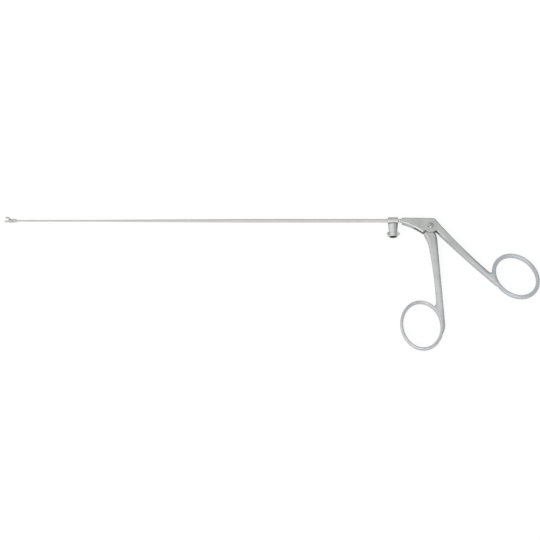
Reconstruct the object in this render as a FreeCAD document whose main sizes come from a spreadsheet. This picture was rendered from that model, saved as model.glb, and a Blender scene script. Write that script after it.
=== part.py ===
import FreeCAD, Part
import math
import os
import re
import Sketcher

# Laryngeal forceps, in millimetres.
# The instrument lies on its side: the tip points to -X, the rings to -Y, and +Z is up.
# Sizes are laid out from the nose of the housing, on the axis of the shaft, in the middle plane.

SIZES = {
    # shaft and jaws
    "working_length": 230.0,
    "tube_radius": 1.0,
    "tube_tip_radius": 0.53,
    "tube_wall": 0.19,
    "taper_start": 40.0,
    "taper_length": 90.0,
    "hub_length": 4.75,
    "hub_radius": 0.95,
    "hub_socket_depth": 1.1,
    "hub_bore_radius": 0.3,
    "hub_slot_width": 0.84,
    "hub_slot_start": 2.9,
    "hub_slot_end": 5.8,
    "hub_edge": 0.15,
    "hub_seat_gap": 0.01,
    "jaw_length": 2.45,
    "jaw_nose_length": 1.3,
    "cup_width": 1.1,
    "cup_depth": 0.4,
    "cup_margin": 0.4,
    "jaw_pivot_back": 4.5,
    "jaw_pivot_drop": 0.5,
    "jaw_pivot_radius": 0.25,
    "jaw_arm": 0.9,
    "jaw_swing_angle": 20.4,
    "jaw_drive_radius": 0.2,
    "jaw_width": 1.5,
    "jaw_back": 0.64,
    "jaw_gap": 1.5,
    "jaw_thickness": 0.85,
    "jaw_tip_length": 1.75,
    "jaw_neck_width": 0.78,
    "jaw_neck_root": 0.4,
    "jaw_neck_inset": 0.05,
    "jaw_throat_x": -1.75,
    "jaw_throat_y": 1.5,
    "jaw_bend_x": -1.2,
    "jaw_bend_y": 0.9,
    "jaw_foot_x": -0.45,
    "jaw_foot_low": 0.95,
    "jaw_foot_high": 1.62,
    "tang_thickness": 0.38,
    "tang_ear_radius": 0.4,
    "tang_nose_x": -1.2,
    "tang_nose_high": 1.75,
    "tang_nose_low": 0.95,
    # rod
    "rod_radius": 0.5,
    "rod_tip_radius": 0.25,
    "rod_tip_start": 6.9,
    "rod_blade_start": 5.6,
    "rod_blade_ear": 0.33,
    "rod_blade_drop": 0.12,
    "rod_end_length": 9.6,
    "rod_end_rise": 0.78,
    "rod_end_ear": 0.95,
    "rod_end_socket": 4.0,
    "rod_end_gap": 0.2,
    "fork_gap": 1.2,
    "rod_end_pin_radius": 0.5,
    "running_gap": 0.03,
    "rod_way_gap": 0.15,
    # port and neck
    "barrel_length": 6.1,
    "barrel_radius": 2.15,
    "barrel_edge": 0.3,
    "chamber_radius": 0.75,
    "tube_seat_depth": 2.0,
    "neck_length": 2.1,
    "neck_radius": 1.05,
    "neck_seat_depth": 1.3,
    "spigot_radius": 0.85,
    "spigot_length": 4.2,
    "collar_length": 0.9,
    "collar_radius": 1.3,
    "collar_edge": 0.2,
    "seal_pocket_radius": 0.8,
    "bush_length": 0.7,
    "spigot_pin_radius": 0.35,
    "spigot_pin_back": 1.6,
    "spigot_pin_drop": 0.95,
    "luer_from_nose": 5.15,
    "luer_mouth_drop": 9.7,
    "luer_root_radius": 1.5,
    "luer_root_drop": 1.6,
    "luer_shoulder_drop": 2.45,
    "luer_top_radius": 2.9,
    "luer_foot_radius": 2.6,
    "luer_bore_radius": 2.15,
    "luer_bore_depth": 6.5,
    "luer_taper": 0.06,
    "luer_passage_radius": 0.7,
    "lug_reach": 3.9,
    "lug_height": 2.9,
    "lug_crest": 0.7,
    "lug_crest_drop": 0.95,
    "lug_rim": 0.15,
    "lug_angle": 76.0,
    # housing and slot
    "housing_thickness": 6.0,
    "nose_rise": 1.2,
    "nose_fall": 1.65,
    "heel_rise": 0.9,
    "heel_back": 17.6,
    "heel_bow": 0.25,
    "housing_bevel": 0.55,
    "housing_bevel_depth": 0.4,
    "belly_bow": 0.6,
    "pivot_from_nose": 16.5,
    "pivot_drop": 3.65,
    "cheek_radius": 4.1,
    "seat_gap": 0.1,
    "stop_reach": 5.85,
    "stop_angle": 224.0,
    "stop_gap_angle": 0.5,
    "crotch_angle": 319.0,
    "slot_width": 2.4,
    "slot_front": 7.0,
    "slot_side_gap": 0.03,
    "slot_back_top": 1.75,
    "slot_back_drop": 1.2,
    "slot_back_reach": 3.4,
    "slot_foot_x": 5.9,
    "slot_foot_y": -6.4,
    # pivot screw
    "screw_radius": 1.0,
    "screw_head_radius": 1.6,
    "screw_head_depth": 0.9,
    "screw_head_gap": 0.12,
    "screw_head_rise": 0.4,
    "screw_slot_width": 0.5,
    "screw_slot_depth": 0.7,
    "screw_slot_angle": 28.0,
    "screw_tail_inset": 0.3,
    # rear arm and thumb ring, from the pivot
    "rear_back_x": 2.9,
    "rear_back_y": 3.8,
    "rear_outer_bow": 0.8,
    "rear_inner_x": 36.4,
    "rear_inner_y": -34.25,
    "rear_inner_bow": 0.36,
    "rear_inner_angle": 90.0,
    "rear_crotch_x": 33.3,
    "rear_crotch_y": -27.55,
    "rear_crotch_bow": 1.1,
    "rear_crotch_angle": 32.0,
    "thumb_x": 48.97,
    "thumb_y": -29.85,
    "thumb_hole_length": 25.5,
    "thumb_hole_width": 19.55,
    "thumb_band": 2.32,
    "thumb_angle": 137.0,
    # front arm and finger ring, from the pivot
    "front_knee_x": -2.25,
    "front_knee_y": -7.85,
    "front_shin_x": -0.85,
    "front_shin_y": -12.65,
    "front_shin_bow": 0.17,
    "front_inner_x": 2.9,
    "front_inner_y": -45.6,
    "front_inner_bow": 0.5,
    "front_crotch_bow": 0.6,
    "front_crotch_angle": 48.0,
    "front_back_angle": 302.0,
    "front_back_x": 3.55,
    "front_back_y": -6.0,
    "front_outer_x": 7.75,
    "front_outer_y": -58.5,
    "front_outer_bow": 0.9,
    "front_outer_angle": 130.0,
    "finger_x": -5.54,
    "finger_y": -59.24,
    "finger_hole_length": 26.1,
    "finger_hole_width": 21.1,
    "finger_band": 1.86,
    "finger_angle": 101.4,
    "ring_depth": 4.4,
    "arm_bevel": 1.15,
    "arm_bevel_depth": 0.8,
    "arm_foot_thickness": 3.9,
    "arm_taper_start": 9.0,
    "arm_taper_length": 36.0,
    "rear_arm_angle": 45.0,
    # tongue of the front handle
    "tongue_radius": 2.9,
    "tongue_shoulder": 1.0,
    "tongue_left_angle": 200.0,
    "tongue_root_left_angle": 240.0,
    "tongue_root_right_angle": 296.0,
    "tongue_right_angle": 340.0,
    "fork_arm": 2.3,
}

doc = FreeCAD.newDocument("LaryngealForceps")
sheet = doc.addObject("Spreadsheet::Sheet", "Sizes")
for row, (alias, value) in enumerate(SIZES.items(), 1):
    sheet.set(f"A{row}", alias)
    sheet.set(f"B{row}", str(value))
    sheet.setAlias(f"B{row}", alias)
doc.recompute()

WORD = re.compile(r"[a-z_][a-z_0-9]*")
THROUGH = 20.0
RING_SIDES = 12
TOUCHING = 0.01
SAME = 1e-6

# Places that several pieces share, as formulas of the sizes.
ROD_TRAVEL = "(2 * jaw_arm * tan(jaw_swing_angle / 2))"
TONGUE_THICKNESS = "(slot_width - 2 * slot_side_gap)"
SEAT_RADIUS = "(cheek_radius + seat_gap)"
STOP_FACE = "(stop_angle + stop_gap_angle)"
BARREL_BACK = "(0 - neck_length)"
BARREL_FRONT = "(0 - neck_length - barrel_length)"
TUBE_BACK = f"({BARREL_FRONT} + tube_seat_depth)"
TUBE_FRONT = "(jaw_length + hub_length - hub_socket_depth - working_length)"
TAPER_BACK = "(taper_start + taper_length)"
ROD_FRONT = "(rod_tip_start - working_length)"
ROD_PIN_X = f"(pivot_from_nose + {ROD_TRAVEL} / 2)"
ROD_PIN_Y = "(fork_arm - pivot_drop)"
ROD_BACK = f"({ROD_PIN_X} + rod_end_ear - rod_end_length + rod_end_socket)"
JAW_PIVOT_X = "(jaw_pivot_back - working_length)"
HANDLE_SWING = f"(2 * atan({ROD_TRAVEL} / (2 * fork_arm)) / 1 deg)"
SEAL_FLOOR = f"(bush_length + seal_pocket_radius - rod_radius - neck_length - neck_seat_depth)"
THUMB_LONG = "(thumb_hole_length / 2 + thumb_band / 2)"
THUMB_WIDE = "(thumb_hole_width / 2 + thumb_band / 2)"
FINGER_LONG = "(finger_hole_length / 2 + finger_band / 2)"
FINGER_WIDE = "(finger_hole_width / 2 + finger_band / 2)"

# The frame's origin lies under the middle of the box round the whole instrument.
THUMB_SPREAD = f"({THUMB_LONG} * cos(thumb_angle))^2 + ({THUMB_WIDE} * sin(thumb_angle))^2"
THUMB_HALF = f"(sqrt({THUMB_SPREAD}) + thumb_band / 2)"
FINGER_SPREAD = f"({FINGER_LONG} * sin(finger_angle))^2 + ({FINGER_WIDE} * cos(finger_angle))^2"
FINGER_HALF = f"(sqrt({FINGER_SPREAD}) + finger_band / 2)"
MIDDLE_X = f"((pivot_from_nose + thumb_x + {THUMB_HALF} - working_length) / 2)"
MIDDLE_Y = f"((finger_y - pivot_drop - {FINGER_HALF} + jaw_gap + jaw_thickness) / 2)"
MIDDLE_Z = "(housing_thickness / 2)"


def sized(text):
    """The expression with each size named by its cell."""
    return WORD.sub(lambda m: f"Sizes.{m.group()}" if m.group() in SIZES else m.group(), str(text))


def number(text):
    """What an expression of sizes comes to."""
    return float(sheet.evalExpression(sized(text)))


def bind(thing, **properties):
    """Bind properties of an object to expressions of sizes."""
    for name, text in properties.items():
        thing.setExpression(name, sized(text))


def put(thing, x="0", y="0", z="0", axis=None, angle="0"):
    """Place an object by its place from the nose, in the frame of the whole instrument."""
    if axis:
        turn = FreeCAD.Rotation(FreeCAD.Vector(*axis), number(angle))
        thing.Placement = FreeCAD.Placement(FreeCAD.Vector(), turn)
        thing.setExpression("Placement.Rotation.Angle", sized(angle))
    thing.setExpression("Placement.Base.x", sized(f"{x} - {MIDDLE_X}"))
    thing.setExpression("Placement.Base.y", sized(f"{y} - {MIDDLE_Y}"))
    thing.setExpression("Placement.Base.z", sized(f"{z} + {MIDDLE_Z}"))
    return thing


def new_body(name):
    """An empty body."""
    return doc.addObject("PartDesign::Body", name)


def new_sketch(body, plane="XY_Plane", offset=None, axis=None, angle="0"):
    """A sketch on one of the body's origin planes, moved by an offset and turned about an axis."""
    sketch = body.newObject("Sketcher::SketchObject", f"{body.Name}_sketch")
    support = [feature for feature in body.Origin.OriginFeatures if feature.Role == plane][0]
    sketch.AttachmentSupport = [(support, "")]
    sketch.MapMode = "FlatFace"
    if axis:
        turn = FreeCAD.Rotation(FreeCAD.Vector(*axis), number(angle))
        sketch.AttachmentOffset = FreeCAD.Placement(FreeCAD.Vector(), turn)
        sketch.setExpression("AttachmentOffset.Rotation.Angle", sized(angle))
    for letter, text in zip("xyz", offset or ()):
        sketch.setExpression(f"AttachmentOffset.Base.{letter}", sized(text))
    return sketch


def fix(sketch, kind, *items, text):
    """Add a size constraint whose value is an expression."""
    index = sketch.addConstraint(Sketcher.Constraint(kind, *items, number(text)))
    sketch.setExpression(f"Constraints[{index}]", sized(text))


def arc_between(start, end, bow):
    """An arc from start to end that bows to the left of its way, or to the right if bow is negative."""
    chord = end - start
    side = FreeCAD.Vector(-chord.y, chord.x, 0).normalize()
    middle = (start + end) * 0.5 + side * bow
    return Part.Arc(end, middle, start) if bow > 0 else Part.Arc(start, middle, end)


def draw(sketch, *corners):
    """Draw a closed outline. A corner is x and y, and a bow where the way to it is an arc."""
    points = [FreeCAD.Vector(number(corner[0]), number(corner[1]), 0) for corner in corners]
    bows = [number(corner[2]) if len(corner) == 3 else 0 for corner in corners]
    first = sketch.GeometryCount
    for place, bow in enumerate(bows):
        start, end = points[place - 1], points[place]
        sketch.addGeometry(arc_between(start, end, bow) if bow else Part.LineSegment(start, end), False)
    for place, corner in enumerate(corners):
        edge = first + place
        after = (place + 1) % len(corners)
        end_mark = 1 if bows[place] > 0 else 2
        start_mark = 2 if bows[after] > 0 else 1
        sketch.addConstraint(Sketcher.Constraint("Coincident", edge, end_mark, first + after, start_mark))
        fix(sketch, "DistanceX", -1, 1, edge, end_mark, text=corner[0])
        fix(sketch, "DistanceY", -1, 1, edge, end_mark, text=corner[1])
        if bows[place]:
            x, y = corner[:2]
            u, v = corners[place - 1][:2]
            bow = f"abs({corner[2]})"
            chord = f"((({x}) - ({u}))^2 + (({y}) - ({v}))^2)"
            fix(sketch, "Radius", edge, text=f"{chord} / (8 * {bow}) + {bow} / 2")
    return sketch


def circle(sketch, x, y, radius):
    """Draw a full circle."""
    middle = FreeCAD.Vector(number(x), number(y), 0)
    edge = sketch.addGeometry(Part.Circle(middle, FreeCAD.Vector(0, 0, 1), number(radius)), False)
    fix(sketch, "DistanceX", -1, 1, edge, 3, text=x)
    fix(sketch, "DistanceY", -1, 1, edge, 3, text=y)
    fix(sketch, "Radius", edge, text=radius)
    return sketch


def rectangle(sketch, left, right, low, high):
    """Draw a rectangle."""
    return draw(sketch, (right, low), (right, high), (left, high), (left, low))


def quarter(radius):
    """How far a quarter of a circle stands off its chord, to the right of its way."""
    return f"0 - {radius} * (1 - cos(45))"


def stadium(sketch, left, right, half):
    """Draw a slot with round ends along the sketch's first axis."""
    bow = quarter(half)
    start, end = f"{left} + {half}", f"{right} - {half}"
    low = f"0 - {half}"
    return draw(
        sketch,
        (end, low),
        (right, "0", bow),
        (end, half, bow),
        (start, half),
        (left, "0", bow),
        (start, low, bow),
    )


def pad(body, sketch, thickness):
    """Grow a sketch to both sides by half of the thickness."""
    feature = body.newObject("PartDesign::Pad", f"{body.Name}_pad")
    feature.Profile = sketch
    feature.Midplane = True
    bind(feature, Length=thickness)
    return feature


def cut(body, sketch, depth=None):
    """Cut a sketch out of the body, right through or to both sides by half of the depth."""
    feature = body.newObject("PartDesign::Pocket", f"{body.Name}_cut")
    feature.Profile = sketch
    feature.Midplane = True
    if depth:
        bind(feature, Length=depth)
    else:
        feature.Length = THROUGH
    return feature


def bore(body, sketch, depth):
    """Cut a sketch out of the body, along the normal of its plane."""
    feature = body.newObject("PartDesign::Pocket", f"{body.Name}_bore")
    feature.Profile = sketch
    feature.Reversed = True
    bind(feature, Length=depth)
    return feature


def turned(body, axis, *corners, plane="XY_Plane"):
    """A turned body: an outline of places along the axis and radii, spun about it."""
    sketch = new_sketch(body, plane)
    if axis == "V_Axis":
        corners = [(corner[1], corner[0], *corner[2:]) for corner in corners]
    draw(sketch, *corners)
    feature = body.newObject("PartDesign::Revolution", f"{body.Name}_spin")
    feature.Profile = sketch
    feature.ReferenceAxis = (sketch, [axis])
    return feature


def edges_of(feature, wanted):
    """The names of the edges for which wanted says yes."""
    doc.recompute()
    return [f"Edge{place}" for place, edge in enumerate(feature.Shape.Edges, 1) if wanted(edge)]


def bevel(body, feature, wanted, side, face):
    """Bevel some edges of the body's last feature, by side along the wall and by face along the flat."""
    names = edges_of(feature, wanted)
    chamfer = body.newObject("PartDesign::Chamfer", f"{body.Name}_bevel")
    chamfer.Base = (feature, names)
    chamfer.ChamferType = "Two distances"
    bind(chamfer, Size=side, Size2=face)
    return chamfer


def is_outer(edge, seat_radius, ring):
    """True for an edge of a flat that neither lies on the seat nor runs to the middle of the ring."""
    half = number("housing_thickness / 2")
    seat = number(seat_radius) + TOUCHING
    x, y = (number(place) for place in ring)
    in_flat = all(abs(abs(vertex.Z) - half) < SAME for vertex in edge.Vertexes)
    on_seat = all(math.hypot(vertex.X, vertex.Y) < seat for vertex in edge.Vertexes)
    to_ring = any(math.hypot(vertex.X - x, vertex.Y - y) < TOUCHING for vertex in edge.Vertexes)
    return in_flat and not on_seat and not to_ring


def round_pin(name, radius, length):
    """A plain pin about Z, centred on the middle plane."""
    body = new_body(name)
    pad(body, circle(new_sketch(body), "0", "0", radius), length)
    return body


def ring_point(ring, reach_long, reach_wide, turn, angle):
    """A point of an oval, by its angle from the long axis."""
    x, y = ring
    return (
        f"{x} + {reach_long} * cos({angle}) * cos({turn}) - {reach_wide} * sin({angle}) * sin({turn})",
        f"{y} + {reach_long} * cos({angle}) * sin({turn}) + {reach_wide} * sin({angle}) * cos({turn})",
    )


def from_pivot(radius, angle):
    """A point at this distance and angle from the pivot."""
    return f"{radius} * cos({angle})", f"{radius} * sin({angle})"


def arc_bow(radius, start, end):
    """How far the arc about the pivot between two angles stands off its chord."""
    return f"{radius} * (1 - cos(({end} - ({start})) / 2))"


def oval(name, reach_long, reach_wide, place, turn):
    """An oval curve in the middle plane of a handle."""
    curve = doc.addObject("Part::Ellipse", name)
    curve.Placement.Rotation = FreeCAD.Rotation(FreeCAD.Vector(0, 0, 1), number(turn))
    bind(curve, MajorRadius=reach_long, MinorRadius=reach_wide)
    curve.setExpression("Placement.Rotation.Angle", sized(turn))
    curve.setExpression("Placement.Base.x", sized(place[0]))
    curve.setExpression("Placement.Base.y", sized(place[1]))
    return curve


def ring_on_arm(name, arm, reach_long, reach_wide, place, turn, band):
    """Trim the arm along the middle of the ring's band and join the ring to it."""
    middle = oval(f"{name}_middle", reach_long, reach_wide, place, turn)
    hole = doc.addObject("Part::Extrusion", f"{name}_hole")
    hole.Base = middle
    hole.DirMode = "Custom"
    hole.Dir = FreeCAD.Vector(0, 0, 1)
    hole.LengthFwd = THROUGH
    hole.Symmetric = True
    hole.Solid = True
    trimmed = doc.addObject("Part::Cut", f"{name}_trimmed")
    trimmed.Base = arm
    trimmed.Tool = hole
    section = doc.addObject("Sketcher::SketchObject", f"{name}_section")
    corners = []
    for side in range(RING_SIDES):
        angle = (side + 0.5) * 360 / RING_SIDES
        round_out = f"/ (2 * cos({180 / RING_SIDES}))"
        corners.append((f"ring_depth * cos({angle}) {round_out}", f"{band} * sin({angle}) {round_out}"))
    draw(section, *corners)
    upright = FreeCAD.Rotation(FreeCAD.Vector(0, 0, 1), number(turn)) * FreeCAD.Rotation(
        FreeCAD.Vector(0, 0, 1), FreeCAD.Vector(1, 0, 0), FreeCAD.Vector(0, 1, 0), "XYZ"
    )
    section.Placement.Rotation = upright
    start = ring_point(place, reach_long, reach_wide, turn, "0")
    section.setExpression("Placement.Base.x", sized(start[0]))
    section.setExpression("Placement.Base.y", sized(start[1]))
    ring = doc.addObject("Part::Sweep", f"{name}_ring")
    ring.Sections = [section]
    ring.Spine = (middle, ["Edge1"])
    ring.Solid = True
    whole = doc.addObject("Part::Fuse", name)
    whole.Base = trimmed
    whole.Tool = ring
    return whole


def thin_arm(body, turn):
    """Take a long wedge off both flats, so that the arm gets thinner towards its ring."""
    for side in ("1", "-1"):
        sketch = new_sketch(body, "YZ_Plane", axis=(0, 1, 0), angle=turn)
        high = f"{side} * housing_thickness / 2"
        low = f"{side} * arm_foot_thickness / 2"
        near = "0 - arm_taper_start"
        far = f"{near} - arm_taper_length"
        past = f"{near} - 3 * arm_taper_length"
        clear = f"{side} * housing_thickness"
        draw(sketch, (near, high), (far, low), (past, low), (past, clear), (near, clear))
        wedge = body.newObject("PartDesign::Pocket", f"{body.Name}_wedge")
        wedge.Profile = sketch
        wedge.Midplane = True
        wedge.Length = 10 * THROUGH


def rear_handle():
    """Slotted housing, rear arm and thumb ring, with the pivot at its origin."""
    body = new_body("rear_blank")
    ring = ("thumb_x", "thumb_y")
    cheek_arc = arc_bow("cheek_radius", "stop_angle", "crotch_angle")
    outline = new_sketch(body)
    draw(
        outline,
        ("0 - pivot_from_nose", "nose_rise + pivot_drop"),
        ("0 - pivot_from_nose", "pivot_drop - nose_fall"),
        (*from_pivot("stop_reach", "stop_angle"), "belly_bow"),
        from_pivot("cheek_radius", "stop_angle"),
        (*from_pivot("cheek_radius", "crotch_angle"), f"0 - {cheek_arc}"),
        ("rear_inner_x", "rear_inner_y", "0 - rear_inner_bow"),
        ring_point(ring, THUMB_LONG, THUMB_WIDE, "thumb_angle", "rear_inner_angle"),
        ring,
        ring_point(ring, THUMB_LONG, THUMB_WIDE, "thumb_angle", "rear_crotch_angle"),
        ("rear_crotch_x", "rear_crotch_y", "rear_crotch_bow"),
        ("rear_back_x", "rear_back_y", "rear_outer_bow"),
        ("heel_back - pivot_from_nose", "heel_rise + pivot_drop", "0 - heel_bow"),
    )
    blank = pad(body, outline, "housing_thickness")
    nose_side = TOUCHING - number("pivot_from_nose")

    def outer_edge(edge):
        return edge.CenterOfMass.x > nose_side and is_outer(edge, "cheek_radius", ring)

    bevel(body, blank, outer_edge, "housing_bevel_depth", "housing_bevel")
    slot = new_sketch(body)
    above = "pivot_drop + 2 * nose_rise"
    draw(
        slot,
        ("slot_front - pivot_from_nose", above),
        ("slot_front - pivot_from_nose", "0 - 2 * stop_reach"),
        ("slot_foot_x", "0 - 2 * stop_reach"),
        ("slot_foot_x", "slot_foot_y"),
        ("slot_back_reach", "0 - tongue_shoulder"),
        ("slot_back_reach", "tongue_shoulder"),
        ("slot_back_top", "pivot_drop - slot_back_drop"),
        ("slot_back_top", above),
    )
    cut(body, slot, "slot_width")
    cut(body, circle(new_sketch(body), "0", "0", "screw_radius"))
    head = new_sketch(body, offset=("0", "0", "housing_thickness / 2 - screw_head_depth"))
    bore(body, circle(head, "0", "0", "screw_head_radius + screw_head_gap"), THROUGH)
    nose = ("pivot_drop", "0", "0 - pivot_from_nose")
    spigot_seat = circle(new_sketch(body, "YZ_Plane", nose), "0", "0", "spigot_radius")
    bore(body, spigot_seat, "spigot_length")
    rod_way = circle(new_sketch(body, "YZ_Plane", nose), "0", "0", "rod_radius + rod_way_gap")
    bore(body, rod_way, "slot_front + slot_width")
    pin_place = ("spigot_pin_back - pivot_from_nose", "pivot_drop - spigot_pin_drop")
    cut(body, circle(new_sketch(body), *pin_place, "spigot_pin_radius"))
    thin_arm(body, "rear_arm_angle")
    whole = ring_on_arm("rear_handle", body, THUMB_LONG, THUMB_WIDE, ring, "thumb_angle", "thumb_band")
    return put(whole, "pivot_from_nose", "0 - pivot_drop")


def front_handle():
    """Lever with its tongue and fork and the finger ring, with the pivot at its origin."""
    body = new_body("front_blank")
    ring = ("finger_x", "finger_y")
    crotch = ring_point(ring, FINGER_LONG, FINGER_WIDE, "finger_angle", "0 - front_crotch_angle")
    seat_arc = arc_bow(SEAT_RADIUS, STOP_FACE, "front_back_angle")
    outline = new_sketch(body)
    draw(
        outline,
        (*from_pivot(SEAT_RADIUS, STOP_FACE), seat_arc),
        from_pivot("(stop_reach + seat_gap)", STOP_FACE),
        ("front_knee_x", "front_knee_y"),
        ("front_shin_x", "front_shin_y", "front_shin_bow"),
        ("front_inner_x", "front_inner_y", "front_inner_bow"),
        (*crotch, "front_crotch_bow"),
        ring,
        ring_point(ring, FINGER_LONG, FINGER_WIDE, "finger_angle", "0 - front_outer_angle"),
        ("front_outer_x", "front_outer_y", "0 - front_outer_bow"),
        ("front_back_x", "front_back_y"),
        from_pivot(SEAT_RADIUS, "front_back_angle"),
    )
    blank = pad(body, outline, "housing_thickness")

    def outer_edge(edge):
        return is_outer(edge, SEAT_RADIUS, ring)

    bevel(body, blank, outer_edge, "arm_bevel_depth", "arm_bevel")
    thin_arm(body, "0")
    shoulder = "(asin(tongue_shoulder / tongue_radius) / 1 deg)"
    root_left = from_pivot(f"({SEAT_RADIUS} + seat_gap)", "tongue_root_left_angle")
    root_right = from_pivot(f"({SEAT_RADIUS} + seat_gap)", "tongue_root_right_angle")
    left = from_pivot("tongue_radius", "tongue_left_angle")
    right = from_pivot("tongue_radius", "tongue_right_angle")
    crown_bow = arc_bow("tongue_radius", "tongue_right_angle", "(360 + tongue_left_angle)")
    blade = new_sketch(body)
    draw(
        blade,
        (*left, f"0 - {crown_bow}"),
        root_left,
        root_right,
        right,
    )
    pad(body, blade, "fork_gap - 2 * running_gap")
    tongue = new_sketch(body)
    side_bow = arc_bow("tongue_radius", "tongue_right_angle", f"(360 + {shoulder})")
    draw(
        tongue,
        (*left, f"0 - {side_bow}"),
        root_left,
        root_right,
        right,
        (*from_pivot("tongue_radius", shoulder), f"0 - {side_bow}"),
        from_pivot("tongue_radius", f"(180 - {shoulder})"),
    )
    pad(body, tongue, TONGUE_THICKNESS)
    cut(body, circle(new_sketch(body), "0", "0", "screw_radius + running_gap"))
    fork = new_sketch(body, axis=(0, 0, 1), angle=f"0 - {HANDLE_SWING} / 2")
    half_fork = "(rod_end_pin_radius + running_gap)"
    draw(
        fork,
        (half_fork, "2 * tongue_radius"),
        (f"0 - {half_fork}", "2 * tongue_radius"),
        (f"0 - {half_fork}", "fork_arm"),
        ("0", f"fork_arm - {half_fork}", quarter(half_fork)),
        (half_fork, "fork_arm", quarter(half_fork)),
    )
    cut(body, fork)
    whole = ring_on_arm("front_handle", body, FINGER_LONG, FINGER_WIDE, ring, "finger_angle", "finger_band")
    return put(whole, "pivot_from_nose", "0 - pivot_drop")


def pivot_screw():
    """Slotted screw through both cheeks, turned about Z."""
    body = new_body("pivot_screw")
    under = "(housing_thickness / 2 - screw_head_depth)"
    crown = "(housing_thickness / 2 + screw_head_rise)"
    turned(
        body,
        "V_Axis",
        (f"screw_tail_inset - {MIDDLE_Z}", "0"),
        (f"screw_tail_inset - {MIDDLE_Z}", "screw_radius"),
        (under, "screw_radius"),
        (under, "screw_head_radius"),
        (f"{crown} - screw_head_rise", "screw_head_radius"),
        (crown, "screw_head_radius - 2 * screw_head_rise", "screw_head_rise / 4"),
        (crown, "0"),
        plane="XZ_Plane",
    )
    floor = ("0", "0", f"{crown} - screw_slot_depth")
    groove = new_sketch(body, offset=floor, axis=(0, 0, 1), angle="screw_slot_angle")
    reach = "2 * screw_head_radius"
    rectangle(groove, f"0 - {reach}", reach, "0 - screw_slot_width / 2", "screw_slot_width / 2")
    bore(body, groove, THROUGH)
    return put(body, "pivot_from_nose", "0 - pivot_drop")


def shaft_tube():
    """Long tube, wide behind, tapered before its middle and narrow in front."""
    body = new_body("shaft_tube")
    length = f"({TUBE_BACK} - {TUBE_FRONT})"
    bend = f"({TAPER_BACK} - {length})"
    tip_bore = "(tube_tip_radius - tube_wall)"
    back_bore = "(tube_radius - tube_wall)"
    turned(
        body,
        "H_Axis",
        ("0", "tube_radius"),
        (bend, "tube_radius"),
        (f"taper_start - {length}", "tube_tip_radius"),
        (f"0 - {length}", "tube_tip_radius"),
        (f"0 - {length}", tip_bore),
        (bend, tip_bore),
        (f"{bend} + {back_bore} - {tip_bore}", back_bore),
        ("0", back_bore),
    )
    return put(body, TUBE_BACK)


def drive_rod():
    """Rod in the tube, thinner where the tube tapers."""
    body = new_body("drive_rod")
    step = f"({TUBE_FRONT} + {TAPER_BACK} + tube_radius + {ROD_TRAVEL} - {ROD_BACK})"
    front = f"({ROD_FRONT} - {ROD_BACK})"
    turned(
        body,
        "H_Axis",
        ("0", "0"),
        ("0", "rod_radius"),
        (step, "rod_radius"),
        (f"{step} + rod_tip_radius - rod_radius", "rod_tip_radius"),
        (front, "rod_tip_radius"),
        (front, "0"),
    )
    return put(body, ROD_BACK)


def port_barrel():
    """Barrel between the tube and the neck, bored to seat both, with the rinsing passage below."""
    body = new_body("port_barrel")
    turned(
        body,
        "H_Axis",
        ("0", "neck_radius"),
        ("0", "barrel_radius - barrel_edge"),
        ("0 - barrel_edge", "barrel_radius"),
        ("barrel_edge - barrel_length", "barrel_radius"),
        ("0 - barrel_length", "barrel_radius - barrel_edge"),
        ("0 - barrel_length", "tube_radius"),
        ("tube_seat_depth - barrel_length", "tube_radius"),
        ("tube_seat_depth - barrel_length", "chamber_radius"),
        ("0 - neck_seat_depth", "chamber_radius"),
        ("0 - neck_seat_depth", "neck_radius"),
    )
    passage = new_sketch(body, "XZ_Plane")
    circle(passage, "neck_length - luer_from_nose", "0", "luer_passage_radius")
    bore(body, passage, "2 * barrel_radius")
    return put(body, BARREL_BACK)


def luer_socket():
    """Female taper with two lugs, hanging from the barrel; its origin is on the barrel's axis."""
    body = new_body("luer_socket")
    bottom = "(luer_bore_depth - luer_mouth_drop)"
    lug_top = "(lug_height + lug_rim - luer_mouth_drop)"
    turned(
        body,
        "V_Axis",
        ("0 - luer_root_drop", "luer_passage_radius"),
        ("0 - luer_root_drop", "luer_root_radius"),
        ("0 - luer_shoulder_drop", "luer_top_radius"),
        (lug_top, "luer_foot_radius"),
        ("0 - luer_mouth_drop", "luer_foot_radius"),
        ("0 - luer_mouth_drop", "luer_bore_radius"),
        (bottom, "luer_bore_radius - luer_bore_depth * luer_taper / 2"),
        (bottom, "luer_passage_radius"),
    )
    for side in ("1", "-1"):
        root = f"{side} * (luer_foot_radius - lug_rim)"
        reach = f"{side} * lug_reach"
        lug = new_sketch(body)
        draw(
            lug,
            (root, lug_top),
            (reach, f"{lug_top} - lug_crest_drop"),
            (reach, f"{lug_top} - lug_crest_drop - lug_crest"),
            (root, f"{lug_top} - lug_height"),
        )
        spin = body.newObject("PartDesign::Revolution", "lug")
        spin.Profile = lug
        spin.ReferenceAxis = (lug, ["V_Axis"])
        spin.Midplane = True
        bind(spin, Angle="lug_angle")
    cut(body, circle(new_sketch(body, "YZ_Plane"), "0", "0", "barrel_radius"))
    return put(body, "0 - luer_from_nose")


def neck_sleeve():
    """Neck from the barrel to the housing, with its spigot, the sealing pocket and the bore for the rod."""
    body = new_body("neck_sleeve")
    front = "(0 - neck_length - neck_seat_depth)"
    turned(
        body,
        "H_Axis",
        (front, "seal_pocket_radius"),
        (front, "neck_radius"),
        ("0", "neck_radius"),
        ("0", "spigot_radius"),
        ("spigot_length", "spigot_radius"),
        ("spigot_length", "rod_radius + running_gap"),
        (SEAL_FLOOR, "rod_radius + running_gap"),
        (SEAL_FLOOR, "seal_pocket_radius"),
    )
    notch = circle(new_sketch(body), "spigot_pin_back", "0 - spigot_pin_drop", "spigot_pin_radius")
    cut(body, notch)
    return put(body)


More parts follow.
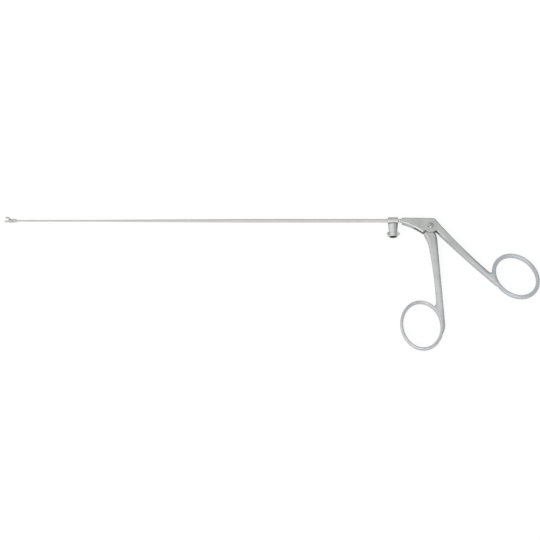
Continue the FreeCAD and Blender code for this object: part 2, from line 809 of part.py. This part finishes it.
def neck_collar():
    """Thin round collar against the nose of the housing."""
    body = new_body("neck_collar")
    turned(
        body,
        "H_Axis",
        ("0", "neck_radius"),
        ("0", "collar_radius"),
        ("collar_edge - collar_length", "collar_radius"),
        ("0 - collar_length", "collar_radius - collar_edge"),
        ("0 - collar_length", "neck_radius"),
    )
    return put(body)


def seal_bush():
    """Bush pressed into the neck's front end, which holds the sealing ring."""
    body = new_body("seal_bush")
    turned(
        body,
        "H_Axis",
        ("0", "seal_pocket_radius"),
        ("bush_length", "seal_pocket_radius"),
        ("bush_length", "rod_radius + 2 * running_gap"),
        ("0", "rod_radius + 2 * running_gap"),
    )
    return put(body, "0 - neck_length - neck_seat_depth")


def rod_seal():
    """Sealing ring round the rod, between the bush and the floor of its pocket."""
    body = new_body("rod_seal")
    length = f"({SEAL_FLOOR} + neck_length + neck_seat_depth - bush_length)"
    turned(
        body,
        "H_Axis",
        ("0", "rod_radius + running_gap / 2"),
        ("0", "seal_pocket_radius"),
        (f"0 - {length}", "seal_pocket_radius"),
        (f"0 - {length}", "rod_radius + running_gap / 2"),
    )
    return put(body, SEAL_FLOOR)


def rod_end():
    """Block on the back of the rod, with a clevis; its origin is on the rod, above the cross pin."""
    body = new_body("rod_end")
    front = "(rod_end_ear - rod_end_length)"
    outline = new_sketch(body)
    draw(
        outline,
        (front, "rod_end_rise"),
        (front, "0 - rod_end_rise"),
        (f"{front} + rod_end_ear", f"{ROD_PIN_Y} - rod_end_ear"),
        ("0", f"{ROD_PIN_Y} - rod_end_ear"),
        ("rod_end_ear", ROD_PIN_Y, quarter("rod_end_ear")),
        ("rod_end_ear", "0"),
        ("0", "rod_end_rise"),
    )
    pad(body, outline, TONGUE_THICKNESS)
    clevis = new_sketch(body)
    front_gap = f"0 - tongue_radius - {ROD_TRAVEL} - rod_end_gap"
    rectangle(clevis, front_gap, "2 * rod_end_ear", "0 - 2 * pivot_drop", "2 * rod_end_rise")
    cut(body, clevis, "fork_gap")
    socket = circle(new_sketch(body, "YZ_Plane", ("0", "0", front)), "0", "0", "rod_radius")
    bore(body, socket, "rod_end_socket")
    cut(body, circle(new_sketch(body), "0", ROD_PIN_Y, "rod_end_pin_radius"))
    return put(body, ROD_PIN_X)


def fixed_jaw():
    """Hub and lower jaw: a round-nosed bar, hollowed at its tip and slotted for the upper jaw."""
    body = new_body("fixed_jaw")
    back = "(jaw_length + hub_length)"
    turned(
        body,
        "H_Axis",
        ("0", "0"),
        ("jaw_nose_length", "hub_radius", "hub_radius / 3"),
        (f"{back} - hub_edge", "hub_radius"),
        (back, "hub_radius - hub_edge"),
        (back, "0"),
    )
    above = new_sketch(body)
    rectangle(above, "0 - jaw_length", "jaw_length", "0", "2 * hub_radius")
    cut(body, above)
    slot = new_sketch(body)
    draw(
        slot,
        ("jaw_nose_length", "0"),
        ("hub_slot_start", "0"),
        ("hub_slot_start", "0 - 2 * hub_radius"),
        ("hub_slot_end", "0 - 2 * hub_radius"),
        ("hub_slot_end", "2 * hub_radius"),
        ("jaw_nose_length", "2 * hub_radius"),
    )
    cut(body, slot, "hub_slot_width")
    tube_seat = new_sketch(body, "YZ_Plane", ("0", "0", f"{back} - hub_socket_depth"))
    bore(body, circle(tube_seat, "0", "0", "tube_tip_radius + hub_seat_gap"), "2 * hub_socket_depth")
    rod_hole = new_sketch(body, "YZ_Plane", ("0", "0", "hub_slot_end - hub_edge"))
    bore(body, circle(rod_hole, "0", "0", "hub_bore_radius"), "hub_socket_depth")
    cup = new_sketch(body, "XZ_Plane")
    stadium(cup, "cup_margin", "(jaw_length - cup_margin / 2)", "(cup_width / 2)")
    bore(body, cup, "cup_depth")
    pin_hole = circle(new_sketch(body), "jaw_pivot_back", "0 - jaw_pivot_drop", "jaw_pivot_radius")
    cut(body, pin_hole)
    return put(body, "0 - working_length")


def moving_jaw():
    """Upper jaw in its open position, with the pivot at its origin: tip, neck and slotted tang."""
    body = new_body("moving_jaw")
    front = "(jaw_back - jaw_pivot_back)"
    tip_back = f"({front} + jaw_tip_length)"
    rim = "(jaw_gap + jaw_pivot_drop)"
    crown = f"({rim} + jaw_thickness)"
    tip = new_sketch(body)
    draw(
        tip,
        (front, rim),
        (tip_back, rim),
        (tip_back, f"{crown} - jaw_thickness / 8"),
        (f"{front} + jaw_thickness / 2", crown, "jaw_thickness / 12"),
        (front, f"{rim} + jaw_thickness / 3", "jaw_thickness / 6"),
    )
    blank = pad(body, tip, "jaw_width")
    front_x = number(front)

    def nose_edge(edge):
        near, far = edge.Vertexes
        at_front = abs(near.X - front_x) < SAME and abs(far.X - front_x) < SAME
        return at_front and abs(near.Z - far.Z) < SAME

    names = edges_of(blank, nose_edge)
    rounding = body.newObject("PartDesign::Fillet", "tip_round")
    rounding.Base = (blank, names)
    bind(rounding, Radius="jaw_width / 3")
    neck = new_sketch(body)
    draw(
        neck,
        (f"{tip_back} - jaw_neck_root", f"{rim} + jaw_neck_inset"),
        (f"{tip_back} - jaw_neck_inset", f"{rim} + jaw_neck_inset"),
        ("jaw_throat_x", "jaw_throat_y"),
        ("jaw_bend_x", "jaw_bend_y"),
        ("jaw_foot_x", "jaw_foot_low"),
        ("jaw_foot_x", "jaw_foot_high"),
        (f"{tip_back} + jaw_neck_inset", f"{crown} - 2 * jaw_neck_inset"),
        (f"{tip_back} - jaw_neck_root", f"{crown} - 3 * jaw_neck_inset"),
    )
    pad(body, neck, "jaw_neck_width")
    side = ("0", "0", "0 - hub_slot_width / 4")
    tang = new_sketch(body, offset=side)
    draw(
        tang,
        ("0 - tang_ear_radius", "0"),
        ("0", "0 - tang_ear_radius", quarter("tang_ear_radius")),
        ("tang_ear_radius", "0", quarter("tang_ear_radius")),
        (f"{ROD_TRAVEL} / 2 + tang_ear_radius", "jaw_arm"),
        (f"{ROD_TRAVEL} / 2", "jaw_arm + tang_ear_radius", "0 - tang_ear_radius / 4"),
        ("tang_nose_x", "tang_nose_high"),
        ("tang_nose_x", "tang_nose_low"),
    )
    pad(body, tang, "tang_thickness")
    cut(body, circle(new_sketch(body), "0", "0", "jaw_pivot_radius + running_gap"))
    way = new_sketch(body, axis=(0, 0, 1), angle="0 - jaw_swing_angle / 2")
    half = "(jaw_drive_radius + running_gap)"
    top = "(jaw_arm / cos(jaw_swing_angle / 2))"
    draw(
        way,
        (half, "jaw_arm", quarter(half)),
        (half, top),
        ("0", f"{top} + {half}", quarter(half)),
        (f"0 - {half}", top, quarter(half)),
        (f"0 - {half}", "jaw_arm"),
        ("0", f"jaw_arm - {half}", quarter(half)),
    )
    cut(body, way)
    return put(body, JAW_PIVOT_X, "0 - jaw_pivot_drop")


def rod_tip():
    """Stub on the rod's front end with a flat eye; its origin is on the rod's axis, at the drive pin."""
    body = new_body("rod_tip")
    blade_back = f"(rod_blade_start - jaw_pivot_back - {ROD_TRAVEL} / 2)"
    back = f"(rod_tip_start - jaw_pivot_back - {ROD_TRAVEL} / 2)"
    turned(
        body,
        "H_Axis",
        (blade_back, "0"),
        (blade_back, "rod_tip_radius"),
        (back, "rod_tip_radius"),
        (back, "0"),
    )
    eye_y = "(jaw_arm - jaw_pivot_drop)"
    side = ("0", "0", "hub_slot_width / 4")
    blade = new_sketch(body, offset=side)
    draw(
        blade,
        ("0", f"{eye_y} + rod_blade_ear"),
        ("0", "0 - rod_blade_drop"),
        (f"{blade_back} + hub_edge", "0 - rod_blade_drop"),
        (f"{blade_back} + hub_edge", "rod_tip_radius"),
    )
    pad(body, blade, "tang_thickness")
    pad(body, circle(new_sketch(body, offset=side), "0", eye_y, "rod_blade_ear"), "tang_thickness")
    cut(body, circle(new_sketch(body), "0", eye_y, "jaw_drive_radius"))
    return put(body, f"{JAW_PIVOT_X} + {ROD_TRAVEL} / 2")


def spigot_pin():
    """Cross pin in the nose of the housing, which locks the neck's spigot from the side."""
    pin = round_pin("spigot_pin", "spigot_pin_radius", "housing_thickness")
    return put(pin, "spigot_pin_back", "0 - spigot_pin_drop")


def rod_end_pin():
    """Cross pin in the clevis of the rod's end, held by the fork of the front handle."""
    return put(round_pin("rod_end_pin", "rod_end_pin_radius", TONGUE_THICKNESS), ROD_PIN_X, ROD_PIN_Y)


def jaw_pivot_pin():
    """Pin on which the upper jaw turns, flush with the hub."""
    length = "(2 * sqrt(hub_radius^2 - (jaw_pivot_drop + jaw_pivot_radius)^2))"
    return put(round_pin("jaw_pivot_pin", "jaw_pivot_radius", length), JAW_PIVOT_X, "0 - jaw_pivot_drop")


def jaw_drive_pin():
    """Pin in the eye of the rod's tip, which turns the upper jaw by its tang."""
    pin = round_pin("jaw_drive_pin", "jaw_drive_radius", "hub_slot_width - 2 * running_gap")
    return put(pin, f"{JAW_PIVOT_X} + {ROD_TRAVEL} / 2", "jaw_arm - jaw_pivot_drop")


PIECES = [
    rear_handle(),
    front_handle(),
    pivot_screw(),
    shaft_tube(),
    port_barrel(),
    luer_socket(),
    neck_sleeve(),
    neck_collar(),
    spigot_pin(),
    seal_bush(),
    rod_seal(),
    drive_rod(),
    rod_end(),
    rod_end_pin(),
    rod_tip(),
    fixed_jaw(),
    jaw_pivot_pin(),
    moving_jaw(),
    jaw_drive_pin(),
]

doc.recompute()
for thing in doc.Objects:
    if "Invalid" in thing.State or "Error" in thing.State:
        raise RuntimeError(f"{thing.Name} could not be worked out: {thing.State}")
for piece in PIECES:
    if piece.Shape.isNull() or not piece.Shape.isValid():
        raise RuntimeError(f"{piece.Label} has no sound shape")

os.makedirs("parts", exist_ok=True)
for piece in PIECES:
    piece.Shape.exportStep(f"parts/{piece.Label}.step")
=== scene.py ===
import math

import bpy
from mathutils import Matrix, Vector

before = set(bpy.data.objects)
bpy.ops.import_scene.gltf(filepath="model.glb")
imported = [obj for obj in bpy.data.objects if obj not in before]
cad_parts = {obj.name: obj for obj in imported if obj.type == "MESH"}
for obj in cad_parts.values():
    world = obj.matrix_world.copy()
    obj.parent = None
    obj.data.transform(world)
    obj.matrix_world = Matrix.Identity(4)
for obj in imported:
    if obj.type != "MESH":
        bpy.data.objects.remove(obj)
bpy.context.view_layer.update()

MM = 0.001
WHITE = (1.0, 1.0, 1.0, 1.0)
scene = bpy.context.scene
scene.view_settings.view_transform = "Standard"

# Camera. It looks down at the instrument from its front, 74 degrees above the table.
FRAME_WIDTH = 0.3114
LENS = 300.0
SENSOR = 36.0
NEAREST, FARTHEST = 0.01, 20.0
ELEVATION = math.radians(74.0)
AIM = Vector((-0.92 * MM, 8.07 * MM, 3.0 * MM))

camera_data = bpy.data.cameras.new("camera")
camera_data.lens = LENS
camera_data.sensor_width = SENSOR
camera_data.clip_start = NEAREST
camera_data.clip_end = FARTHEST
camera = bpy.data.objects.new("camera", camera_data)
scene.collection.objects.link(camera)
back = Vector((0.0, -math.cos(ELEVATION), math.sin(ELEVATION)))
camera.location = AIM + back * (FRAME_WIDTH * LENS / SENSOR)
camera.rotation_mode = "QUATERNION"
camera.rotation_quaternion = (-back).to_track_quat("-Z", "Y")
scene.camera = camera


def srgb(red, green, blue):
    """A colour as a picture gives it, 0 to 255, as the linear colour of a shader."""
    out = []
    for value in (red, green, blue):
        value /= 255.0
        out.append(value / 12.92 if value <= 0.04045 else ((value + 0.055) / 1.055) ** 2.4)
    return tuple(out)


# Nearly all of a noise lies between these two values.
NOISE_LOW, NOISE_HIGH = 0.3, 0.7
# How far a noise is drawn out along its grain: this is its scale that way, as a share.
GRAIN_SHARE = 0.06


class Nodes:
    """Short calls that build a node tree."""

    def __init__(self, tree):
        self.tree = tree
        self.tree.nodes.clear()

    def add(self, kind, **values):
        node = self.tree.nodes.new(kind)
        for name, value in values.items():
            setattr(node, name, value)
        return node

    def link(self, source, target):
        self.tree.links.new(source, target)

    def feed(self, socket, value):
        """Links a socket to another one, or sets it to a plain value."""
        if hasattr(value, "links"):
            self.link(value, socket)
        else:
            socket.default_value = value

    def place(self):
        """The point on the piece, in metres."""
        return self.add("ShaderNodeTexCoord").outputs["Object"]

    def axes(self, where):
        """The three numbers of a point."""
        parts = self.add("ShaderNodeSeparateXYZ")
        self.link(where, parts.inputs["Vector"])
        return parts.outputs

    def mapping(self, where, **values):
        node = self.add("ShaderNodeMapping")
        for name, value in values.items():
            node.inputs[name].default_value = value
        self.link(where, node.inputs["Vector"])
        return node.outputs["Vector"]

    def noise(self, where, scale, detail=3.0, roughness=0.5, grain=None):
        """Noise. grain draws it out along a direction of the table, an angle in degrees."""
        if grain is not None:
            turn = (0.0, 0.0, math.radians(-grain))
            where = self.mapping(where, Scale=(GRAIN_SHARE, 1.0, 1.0), Rotation=turn)
        node = self.add("ShaderNodeTexNoise")
        node.inputs["Scale"].default_value = scale
        node.inputs["Detail"].default_value = detail
        node.inputs["Roughness"].default_value = roughness
        self.link(where, node.inputs["Vector"])
        return node.outputs["Fac"]

    def ramp(self, value, *stops, smooth=False):
        """A colour for a value: each stop is a place on the ramp and its colour."""
        node = self.add("ShaderNodeValToRGB")
        if smooth:
            node.color_ramp.interpolation = "EASE"
        elements = node.color_ramp.elements
        while len(elements) < len(stops):
            elements.new(0.5)
        for element, (place, colour) in zip(elements, stops):
            element.position = place
            element.color = (*colour, 1.0)
        self.link(value, node.inputs["Fac"])
        return node.outputs["Color"]

    def noise_colour(self, noise, dark, light, smooth=False):
        return self.ramp(noise, (NOISE_LOW, dark), (NOISE_HIGH, light), smooth=smooth)

    def span(self, value, low, high, to_low=0.0, to_high=1.0):
        """A value between low and high, as one between to_low and to_high."""
        node = self.add("ShaderNodeMapRange")
        limits = (("From Min", low), ("From Max", high), ("To Min", to_low), ("To Max", to_high))
        for name, number in limits:
            node.inputs[name].default_value = number
        self.link(value, node.inputs["Value"])
        return node.outputs["Result"]

    def mix(self, factor, one, other, kind="MIX"):
        node = self.add("ShaderNodeMix", data_type="RGBA", blend_type=kind)
        for name, value in (("Factor", factor), ("A", one), ("B", other)):
            self.feed(node.inputs[name], value)
        return node.outputs["Result"]

    def times(self, one, other):
        """One colour times another."""
        return self.mix(1.0, one, other, kind="MULTIPLY")

    def math(self, operation, one, other):
        node = self.add("ShaderNodeMath", operation=operation)
        for socket, value in zip(node.inputs, (one, other)):
            self.feed(socket, value)
        return node.outputs["Value"]

    def bump(self, height, strength, distance, normal):
        node = self.add("ShaderNodeBump")
        node.inputs["Strength"].default_value = strength
        node.inputs["Distance"].default_value = distance
        self.link(height, node.inputs["Height"])
        self.link(normal, node.inputs["Normal"])
        return node.outputs["Normal"]


def new_material(name):
    """An empty material, the calls that build it, and the socket that takes its shader."""
    material = bpy.data.materials.new(name)
    material.use_nodes = True
    n = Nodes(material.node_tree)
    return material, n, n.add("ShaderNodeOutputMaterial").inputs["Surface"]


# The marks of steel, as scales of noise to the metre.
CLOUDS = 160.0        # darker and lighter tone
UNEVENNESS = 420.0    # rougher and smoother patches
BRUSHING = 900.0      # brushed lines, before they are drawn out
SPECKS = 5000.0       # fine grain of a piece that isn't brushed
SWELLS = 55.0         # slow waves of the surface
SWELL_HEIGHT = 0.6 * MM
MARK_HEIGHT, MARK_STRENGTH = 0.02 * MM, 0.12
STREAK_DARK, STREAK_LIGHT = 0.94, 1.02
DARKER = 1.8          # the dark tone lies this much further from the colour than the light one
SMOOTHER, ROUGHER = -0.06, 0.08
SEED_WAY = (1.0, 0.7, 0.3)
BEVEL_SAMPLES = 6


def steel(name, colour, rough=0.3, grain=None, soft=0.12 * MM, softer=None, painted_sheen=None,
          tint=0.04, wave=0.25, closer=1.0, seed=0.0):
    """Satin stainless steel: cloudy tone, uneven roughness, a slow swell and soft edges.

    grain is the way of its brushed lines, an angle in degrees. Without it there are fine specks.
    softer gives a second softness, an axis, and the place where the edges begin to change to it
    and the place where they have. The next argument paints a sheen in the same way: a factor on the
    colour that makes it lighter, standing in for light.
    closer makes the marks finer, for a small piece.
    """
    material, n, surface = new_material(name)
    shader = n.add("ShaderNodeBsdfPrincipled")
    shader.inputs["Metallic"].default_value = 1.0
    n.link(shader.outputs["BSDF"], surface)
    point = n.place()
    axes = n.axes(point)
    place = n.mapping(point, Location=tuple(seed * share for share in SEED_WAY))

    dark = tuple(c * (1.0 - DARKER * tint) for c in colour)
    light = tuple(min(1.0, c * (1.0 + tint)) for c in colour)
    tone = n.noise_colour(n.noise(place, CLOUDS * closer, detail=4.0), dark, light, smooth=True)
    if grain is None:
        marks = n.noise(place, SPECKS * closer ** 0.5, detail=2.0)
    else:
        marks = n.noise(place, BRUSHING, roughness=0.6, grain=grain)
        tone = n.times(tone, n.span(marks, NOISE_LOW, NOISE_HIGH, STREAK_DARK, STREAK_LIGHT))
    # Painted sheen: the colour is made lighter along one axis, standing in for light, not for a
    # change in the steel.
    if painted_sheen:
        gain, axis, low, high = painted_sheen
        tone = n.times(tone, n.mix(n.span(axes[axis], low, high), WHITE, gain))
    n.link(tone, shader.inputs["Base Color"])

    patches = n.noise(place, UNEVENNESS * closer, detail=5.0)
    roughness = n.span(patches, NOISE_LOW, NOISE_HIGH, rough + SMOOTHER, rough + ROUGHER)
    n.link(roughness, shader.inputs["Roughness"])

    edge = n.add("ShaderNodeBevel", samples=BEVEL_SAMPLES)
    edge.inputs["Radius"].default_value = soft
    if softer:
        wide, axis, low, high = softer
        n.link(n.span(axes[axis], low, high, soft, wide), edge.inputs["Radius"])
    swell = n.bump(n.noise(place, SWELLS, detail=1.0), wave, SWELL_HEIGHT, edge.outputs["Normal"])
    n.link(n.bump(marks, MARK_STRENGTH, MARK_HEIGHT, swell), shader.inputs["Normal"])
    return material


def rubber(name):
    """Matt black rubber with a fine grain."""
    material, n, surface = new_material(name)
    shader = n.add("ShaderNodeBsdfPrincipled")
    n.link(shader.outputs["BSDF"], surface)
    grain = n.noise(n.place(), 4000.0)
    black, dark_grey = (0.012, 0.012, 0.013), (0.03, 0.03, 0.032)
    n.link(n.noise_colour(grain, black, dark_grey), shader.inputs["Base Color"])
    n.link(n.span(grain, NOISE_LOW, NOISE_HIGH, 0.55, 0.75), shader.inputs["Roughness"])
    return material


ALONG_SHAFT = 0.0
ALONG_FRONT_ARM = -86.0

HANDLE = srgb(188, 190, 188)
ARM = srgb(193, 193, 191)
BRIGHT = srgb(204, 205, 202)
BARREL = srgb(200, 201, 198)
SHAFT = srgb(202, 200, 194)
JAW = srgb(191, 190, 187)
SCREW = srgb(194, 194, 191)

# Both arms grow rounder towards their rings. Their colour is also made lighter there: a painted
# sheen that stands in for the light on their rounder faces.
REAR_ROUNDER = (3.2 * MM, "X", 98.0 * MM, 128.0 * MM)
REAR_PAINTED_SHEEN = ((1.09, 1.11, 1.16, 1.0), "X", 105.0 * MM, 134.0 * MM)
FRONT_ROUNDER = (2.6 * MM, "Y", 28.0 * MM, 4.0 * MM)
FRONT_PAINTED_SHEEN = ((1.16, 1.16, 1.20, 1.0), "Y", 24.0 * MM, -14.0 * MM)

housing_steel = steel("housing_steel", HANDLE, rough=0.33, grain=ALONG_SHAFT, soft=0.15 * MM,
                      softer=REAR_ROUNDER, painted_sheen=REAR_PAINTED_SHEEN)
front_steel = steel("front_arm_steel", ARM, rough=0.32, grain=ALONG_FRONT_ARM, soft=0.8 * MM,
                    softer=FRONT_ROUNDER, painted_sheen=FRONT_PAINTED_SHEEN, seed=3.1)
shaft_steel = steel("shaft_steel", SHAFT, rough=0.3, grain=ALONG_SHAFT, soft=0.05 * MM,
                    tint=0.012, wave=0.02, seed=5.3)
bright_steel = steel("polished_steel", BRIGHT, rough=0.2, soft=0.1 * MM,
                     wave=0.1, closer=3.0, seed=7.7)
barrel_steel = steel("barrel_steel", BARREL, rough=0.28, soft=0.12 * MM,
                     wave=0.1, closer=3.0, seed=9.1)
jaw_steel = steel("jaw_steel", JAW, rough=0.3, soft=0.05 * MM, wave=0.1, closer=6.0, seed=2.2)
screw_steel = steel("screw_steel", SCREW, rough=0.24, soft=0.5 * MM,
                    wave=0.1, closer=5.0, seed=4.4)
seal_rubber = rubber("seal_rubber")

LOOKS = {
    "rear_handle": housing_steel,
    "front_handle": front_steel,
    "pivot_screw": screw_steel,
    "shaft_tube": shaft_steel,
    "port_barrel": barrel_steel,
    "luer_socket": bright_steel,
    "neck_sleeve": bright_steel,
    "neck_collar": bright_steel,
    "spigot_pin": screw_steel,
    "seal_bush": bright_steel,
    "rod_seal": seal_rubber,
    "drive_rod": shaft_steel,
    "rod_end": bright_steel,
    "rod_end_pin": screw_steel,
    "rod_tip": jaw_steel,
    "fixed_jaw": jaw_steel,
    "jaw_pivot_pin": screw_steel,
    "moving_jaw": jaw_steel,
    "jaw_drive_pin": screw_steel,
}
for node_name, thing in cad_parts.items():
    thing.data.materials.clear()
    thing.data.materials.append(LOOKS[node_name])


def background_share(n, straight, mirrored):
    """How much of the plain background a ray sees.

    straight is for the camera and for what shows through glass, mirrored for what metal reflects.
    """
    rays = n.add("ShaderNodeLightPath").outputs
    through = n.math("ADD", rays["Is Camera Ray"], rays["Is Transmission Ray"])
    share = n.math("MULTIPLY", through, straight)
    return n.math("ADD", share, n.math("MULTIPLY", rays["Is Glossy Ray"], mirrored))


# The table. Its glow makes it white, and what is left of its own colour keeps a faint shadow.
TABLE_SIZE = 6.0
TABLE_TOP = -0.05 * MM
TABLE_GLOW = 1.095
GLOW_STRAIGHT, GLOW_MIRRORED = 0.78, 0.4


def table_material():
    """White table: it shows white to the camera, partly also in metal, and keeps a faint shadow."""
    material, n, surface = new_material("table_white")
    matt = n.add("ShaderNodeBsdfDiffuse")
    cloud = n.noise(n.place(), 6.0)
    n.link(n.noise_colour(cloud, (0.86, 0.86, 0.87), (0.88, 0.88, 0.885)), matt.inputs["Color"])
    glow = n.add("ShaderNodeEmission")
    glow.inputs["Color"].default_value = WHITE
    glow.inputs["Strength"].default_value = TABLE_GLOW
    mixed = n.add("ShaderNodeMixShader")
    n.link(background_share(n, GLOW_STRAIGHT, GLOW_MIRRORED), mixed.inputs["Fac"])
    n.link(matt.outputs["BSDF"], mixed.inputs[1])
    n.link(glow.outputs["Emission"], mixed.inputs[2])
    n.link(mixed.outputs["Shader"], surface)
    return material


def sheet(name, size, height, material):
    """A flat square mesh."""
    mesh = bpy.data.meshes.new(name)
    half = size / 2
    corners = [(-half, -half, height), (half, -half, height),
               (half, half, height), (-half, half, height)]
    mesh.from_pydata(corners, [], [(0, 1, 2, 3)])
    mesh.materials.append(material)
    piece = bpy.data.objects.new(name, mesh)
    scene.collection.objects.link(piece)
    return piece


sheet("table", TABLE_SIZE, TABLE_TOP, table_material())

LAMP_AIM = Vector((0.05, 0.0, 0.0))


def lamp(name, place, size, power):
    """A square soft lamp, which the camera doesn't see."""
    data = bpy.data.lights.new(name, "AREA")
    data.shape = "SQUARE"
    data.size = size
    data.energy = power
    thing = bpy.data.objects.new(name, data)
    scene.collection.objects.link(thing)
    thing.location = place
    thing.rotation_mode = "QUATERNION"
    thing.rotation_quaternion = (LAMP_AIM - Vector(place)).to_track_quat("-Z", "Y")
    thing.visible_camera = False


lamp("key", (-1.0, -1.45, 1.15), size=1.1, power=3.6)
lamp("front", (-0.1, -1.0, 1.5), size=0.9, power=1.6)

# The room, as colours along the way from its left to its right side.
ROOM_LEFT = (0.1, (1.2, 1.2, 1.2))
ROOM_MIDDLE = (0.5, (1.0, 1.0, 1.0))
ROOM_RIGHT = (0.95, (0.4, 0.44, 0.493))
BEHIND_BEGINS, BEHIND_FULL = 0.2, 0.75
LOW_BEGINS, LOW_FULL = 0.9, 0.4
LOW_BEHIND_GAIN = 0.4
ROOM_MIRRORED = 0.25


def surroundings():
    """A pale room, brighter on the left, dimmer and cooler on the right, and dimmer low behind.

    The camera sees plain white instead, and metal a share of it.
    """
    world = bpy.data.worlds.new("studio")
    scene.world = world
    world.use_nodes = True
    n = Nodes(world.node_tree)
    way = n.axes(n.add("ShaderNodeTexCoord").outputs["Generated"])
    across = n.span(way["X"], -1.0, 1.0)
    shade = n.ramp(across, ROOM_LEFT, ROOM_MIDDLE, ROOM_RIGHT, smooth=True)
    behind = n.span(way["Y"], BEHIND_BEGINS, BEHIND_FULL)
    low = n.span(way["Z"], LOW_BEGINS, LOW_FULL)
    low_behind = n.math("MULTIPLY", behind, low)
    shade = n.times(shade, n.span(low_behind, 0.0, 1.0, 1.0, LOW_BEHIND_GAIN))
    glow = n.add("ShaderNodeBackground")
    glow.inputs["Strength"].default_value = 1.0
    n.link(n.mix(background_share(n, 1.0, ROOM_MIRRORED), shade, WHITE), glow.inputs["Color"])
    n.link(glow.outputs["Background"], n.add("ShaderNodeOutputWorld").inputs["Surface"])


surroundings()
